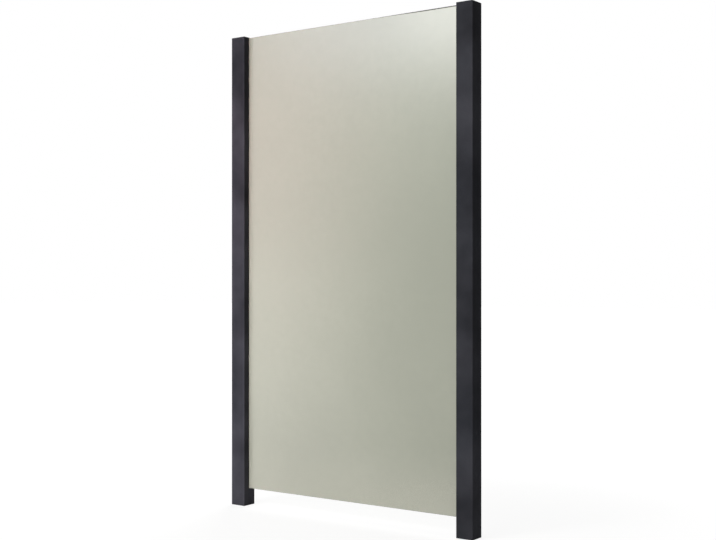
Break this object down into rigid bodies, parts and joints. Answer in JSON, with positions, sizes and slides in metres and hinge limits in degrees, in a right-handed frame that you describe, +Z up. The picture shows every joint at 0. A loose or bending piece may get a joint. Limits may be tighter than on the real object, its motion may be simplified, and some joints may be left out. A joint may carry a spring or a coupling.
{
  "type": "glass fence bay",
  "caption": "Glass fence bay: a tall satin glass pane held in rubber gaskets between square slotted dark posts with flat caps.",
  "frame": {"origin": "centre of the left post's foot, at ground level", "axes": "+X along the fence from the left post to the right post, +Z up, -Y towards the front"},
  "size_m": [1.09, 0.065, 1.8705],
  "materials": {
    "post_coat": "satin",
    "satin_glass": "satin",
    "gasket_rubber": "matte",
    "support_plastic": "matte",
    "pad_rubber": "matte",
    "anchor_steel": "satin"
  },
  "bodies": {
    "root": {"left_post": "post_coat", "right_post": "post_coat", "left_cap": "post_coat", "right_cap": "post_coat", "glass_pane": "satin_glass", "left_front_gasket": "gasket_rubber", "left_rear_gasket": "gasket_rubber", "right_front_gasket": "gasket_rubber", "right_rear_gasket": "gasket_rubber", "left_lower_spacer": "support_plastic", "left_upper_spacer": "support_plastic", "right_lower_spacer": "support_plastic", "right_upper_spacer": "support_plastic", "left_glass_rest": "support_plastic", "right_glass_rest": "support_plastic", "left_setting_pad": "pad_rubber", "right_setting_pad": "pad_rubber", "left_lower_cover": "post_coat", "right_lower_cover": "post_coat", "left_outer_cover": "post_coat", "right_outer_cover": "post_coat", "left_anchor_core": "anchor_steel", "right_anchor_core": "anchor_steel"}
  },
  "joints": []
}
